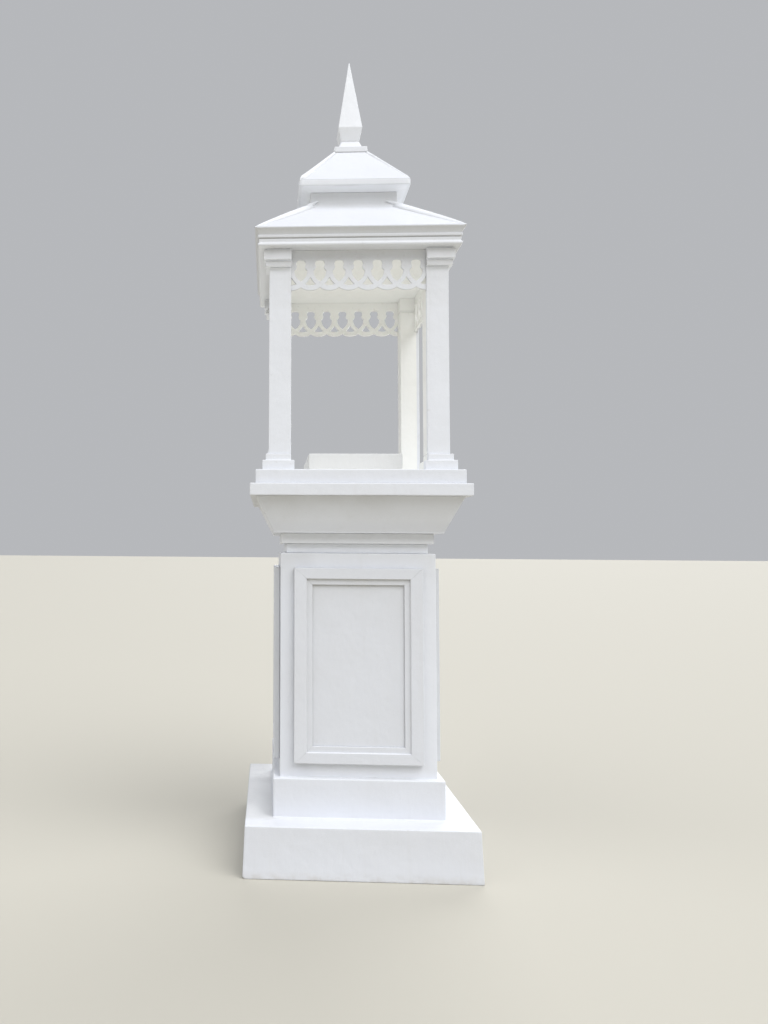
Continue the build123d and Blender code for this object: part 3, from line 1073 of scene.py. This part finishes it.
# %% Upper eave
UPPER_OUT = 0.269
upper_cove = arc((0.213, 3.174), (0.236, 3.182), (0.259, 3.185), 6)
UPPER_EAVE = [(CORE, 3.174), *upper_cove, (0.259, 3.185), (UPPER_OUT, 3.1855)]
UPPER_EAVE += [(UPPER_OUT, 3.213), (CORE, 3.213)]
LIP_FOOT = 3.1848
LIP_HEAD = 3.1862


def eave_shading(place):
    """Painted light: the hollow underside is painted lightest, the flat lip beside it a little
    less, and the upright face less again.
    """
    if place.z < LIP_FOOT:
        return 1.0
    return 0.80 if place.z < LIP_HEAD else 0.36


masonry("upper_eave", run_round(UPPER_EAVE, 0.014, 0.003), painted_light_and_shade=eave_shading)

# %% [markdown]
# ## Roofs, collar and finial
#
# The roofs are smooth plaster too, four slopes that meet in hips. The collar is a square block
# with a sloping pad, and the finial widens for a hand's breadth before it runs up to a blunt
# point. Cones with four sides would come close, but with knife edges. All are leaning outlines
# on the same axis, so the same function makes them.

# %% Roofs
LOWER_ROOF = [(CORE, 2.896), (0.478, 2.896), (0.211, 3.106), (CORE, 3.106)]
UPPER_ROOF = [(CORE, 3.213), (0.269, 3.213), (0.080, 3.443), (CORE, 3.443)]
masonry("lower_roof", run_round(LOWER_ROOF, 0.006, 0.003))
masonry("upper_roof", run_round(UPPER_ROOF, 0.012, 0.003))

# %% Collar and finial
COLLAR = [(CORE, 3.443), (0.084, 3.443), (0.084, 3.472), (0.064, 3.472)]
COLLAR += [(0.045, 3.518), (CORE, 3.518)]
# Collar and finial are painted lighter, as painted light.
masonry("collar", run_round(COLLAR, 0.006, 0.003), 0.0005, 0.4)
FINIAL = [(0.01, 3.518), (0.045, 3.518), (0.061, 3.586), (0.0025, 3.960), (0.0008, 3.960)]
masonry("finial", run_round(FINIAL, 0.003, 0.003), 0.0005, 0.6)

# %% [markdown]
# ## Filler in the joints
#
# Where one block stands on another, the painter ran a bead of filler along the joint with a
# finger, and it softens the line in close views. A wider bevel on the block would soften it too,
# but filler is uneven, because a finger isn't a mould, so it is a piece of its own: a small
# hollow-faced ring that is floated more than the blocks.

# %% Beads of filler
BURIED = 0.0015
BEAD_ARRIS = 0.004


def bead_round(half, height, size, slope=0.0):
    """Run a bead round a square wall, at the foot of it, on a slope if need be."""
    marks = side_marks(half, 0.03)
    section = [(-BURIED, -3 * BURIED), (size, -2 * BURIED), (size * 0.9, 0.0)]
    section += [(size * 0.42, size * 0.22), (size * 0.2, size * 0.45)]
    section += [(0.0, size * 0.9), (-BURIED, size)]
    shape = bmesh.new()
    rings = []
    for out, up in section:
        level = height + up - max(out, 0.0) * slope
        ring = ring_points(half + out, level, marks, BEAD_ARRIS)
        rings.append([shape.verts.new(p) for p in ring])
    skin(shape, rings + rings[:1])
    return shape


def filler(name, shape, amount=0.0011, painted_light_and_shade=0.0):
    """Finish a piece of filler inside its own box."""
    low = [min(vert.co[axis] for vert in shape.verts) for axis in range(3)]
    high = [max(vert.co[axis] for vert in shape.verts) for axis in range(3)]
    make_piece(name, shape, painted_render, (low, high), amount, painted_light_and_shade)


filler("sub_base_filler", bead_round(0.384, 0.221, 0.005))
filler("body_filler", bead_round(0.354, 0.393, 0.004))
# The collar's filler is painted lighter, as painted light.
filler("collar_filler", bead_round(0.064, 3.472, 0.003), 0.0008, 0.4)

# %% [markdown]
# The frieze stands in a thicker bed of mortar on the slope of the lower roof. It was smoothed by
# thumb, so it is lumpier than the filler. The same ring serves, only larger, and each line of it
# is lowered along the slope by as much as it stands out.

# %% Mortar under the frieze
FRIEZE_HALF = 0.211
FRIEZE_FOOT = 3.106
ROOF_SLOPE = 0.787
# The frieze mortar is painted lighter, as painted light.
filler("frieze_mortar", bead_round(FRIEZE_HALF, FRIEZE_FOOT, 0.018, ROOF_SLOPE), 0.0022, 0.3)

# %% [markdown]
# ## Mortar along the hips
#
# Where two slopes of a roof meet, the hip was dressed with mortar and smoothed out on both sides.
# It lifts the outline of the roofs by up to fifteen millimetres. The roofs themselves could be
# bent, but their slopes are plain, so the mortar is a piece of its own: a bar whose section is a
# flat tent, which rides on the hip and changes in thickness on its way up. Its flanks fall a
# little faster than the slopes beside the hip, so their edges end inside the roof. At the front
# of the lower roof both bars run on up the face of the frieze, there with a round section.

# %% A bar of mortar
ROUND = [(cos(pi * step / 5), sin(pi * step / 5)) for step in range(10)]


def bar_of_mortar(shape, points, girths, section):
    """Add a bar of mortar through the points, with its own thickness at each of them."""
    rings = []
    for index, point in enumerate(points):
        before = points[max(index - 1, 0)]
        after = points[min(index + 1, len(points) - 1)]
        ahead = (after - before).normalized()
        sideways = ahead.cross(Vector((0.0, 0.0, 1.0))).normalized()
        outwards = sideways.cross(ahead)
        ring = []
        for across, out in section:
            place = point + (sideways * across + outwards * out) * girths[index]
            ring.append(shape.verts.new(place))
        rings.append(ring)
    skin(shape, rings)
    close_ends(shape, rings)


# %% Hips of both roofs
LOWER_HIP = ((0.478, 2.894), (0.213, 3.104))
UPPER_HIP = ((0.265, 3.213), (0.083, 3.440))
LOWER_SPREAD, UPPER_SPREAD = 3.2, 2.4
WAY_UP = (0.0, 0.07, 0.15, 0.25, 0.35, 0.45, 0.55, 0.65, 0.75, 0.85, 1.0)
TIP = 0.0015
SUNK = 0.2


def hip_rib(shape, corner, hip, spread, thick, full):
    """Dress one hip: how thick at the eave and at its head, and how far up the last is reached."""
    low, high = hip
    slope = (high[1] - low[1]) / (low[0] - high[0])
    fall = spread * tan(acos(1 / (1 + slope ** 2)) / 2) + SUNK
    section = [(spread, -fall), (0.5, 0.75), (0.0, 1.0)]
    section += [(-0.5, 0.75), (-spread, -fall), (0.0, -0.8)]
    points, girths = [], []
    for part in WAY_UP:
        half = low[0] + (high[0] - low[0]) * part
        height = low[1] + (high[1] - low[1]) * part
        girth = thick[0] + (thick[1] - thick[0]) * min(1.0, part / full) ** 0.5
        points.append(Vector((corner[0] * half, corner[1] * half, height)))
        girths.append(girth if part else TIP)
    bar_of_mortar(shape, points, girths, section)


ribs = bmesh.new()
hip_rib(ribs, (-1, -1), LOWER_HIP, LOWER_SPREAD, (0.0015, 0.0112), 0.6)
hip_rib(ribs, (1, -1), LOWER_HIP, LOWER_SPREAD, (0.0015, 0.0132), 0.8)
hip_rib(ribs, (1, 1), LOWER_HIP, LOWER_SPREAD, (0.0015, 0.0115), 0.6)
hip_rib(ribs, (-1, 1), LOWER_HIP, LOWER_SPREAD, (0.0015, 0.0115), 0.6)
hip_rib(ribs, (-1, -1), UPPER_HIP, UPPER_SPREAD, (0.0155, 0.0045), 1.0)
hip_rib(ribs, (1, -1), UPPER_HIP, UPPER_SPREAD, (0.0058, 0.0045), 1.0)
hip_rib(ribs, (1, 1), UPPER_HIP, UPPER_SPREAD, (0.0085, 0.0055), 1.0)
hip_rib(ribs, (-1, 1), UPPER_HIP, UPPER_SPREAD, (0.0120, 0.0045), 1.0)
print("hips dressed, faces", len(ribs.faces))

# %% Ends on the frieze
ON_THE_WALL = 0.003
ON_THE_HIP = ((0.232, 3.090), (0.213, 3.106))
END_GIRTHS = (0.010, 0.013, 0.0075, 0.0035)


def hip_end(shape, side, inward, rise):
    """Run the head of one front hip on up the face of the frieze."""
    points = [Vector((side * half, -half, height)) for half, height in ON_THE_HIP]
    for across, up in ((0.5, 0.55), (1.0, 1.0)):
        out = side * (FRIEZE_HALF - across * inward)
        points.append(Vector((out, -FRIEZE_HALF - ON_THE_WALL, FRIEZE_FOOT + up * rise)))
    bar_of_mortar(shape, points, END_GIRTHS, ROUND)


hip_end(ribs, -1, 0.038, 0.024)
hip_end(ribs, 1, 0.056, 0.022)
# The hip mortar is painted lighter, as painted light that weakens its own shading along the hips.
filler("hip_mortar", ribs, 0.0008, 0.75)

# %% [markdown]
# One column foot has a flare of mortar on its left face, from when it was set upright. A bead is
# run round the whole column, stretched upwards, and cut off on the three sides that have none,
# which is less work than a shape of its own.

# %% Mortar at one column foot
FLARE_SIZE = 0.010
FLARE_STRETCH = 2.6
FRONT_CUT = 0.001
OTHER_CUTS = 0.004

foot_low, foot_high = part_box("front_left_column")
foot_half = (foot_high[0] - foot_low[0]) / 2
flare = bead_round(foot_half, 0.0, FLARE_SIZE)
flare.transform(Matrix.Diagonal((1.0, 1.0, FLARE_STRETCH, 1.0)))
foot_middle = (foot_low[0] + foot_half, foot_low[1] + foot_half, foot_low[2])
flare.transform(Matrix.Translation(foot_middle))
break_off(flare, (foot_low[0] + OTHER_CUTS, 0.0, 0.0), (1.0, 0.0, 0.0))
break_off(flare, (0.0, foot_low[1] + FRONT_CUT, 0.0), (0.0, -1.0, 0.0))
break_off(flare, (0.0, foot_high[1] - OTHER_CUTS, 0.0), (0.0, 1.0, 0.0))
# The flare is painted lighter, as painted light.
filler("column_mortar", flare, 0.0015, 0.3)
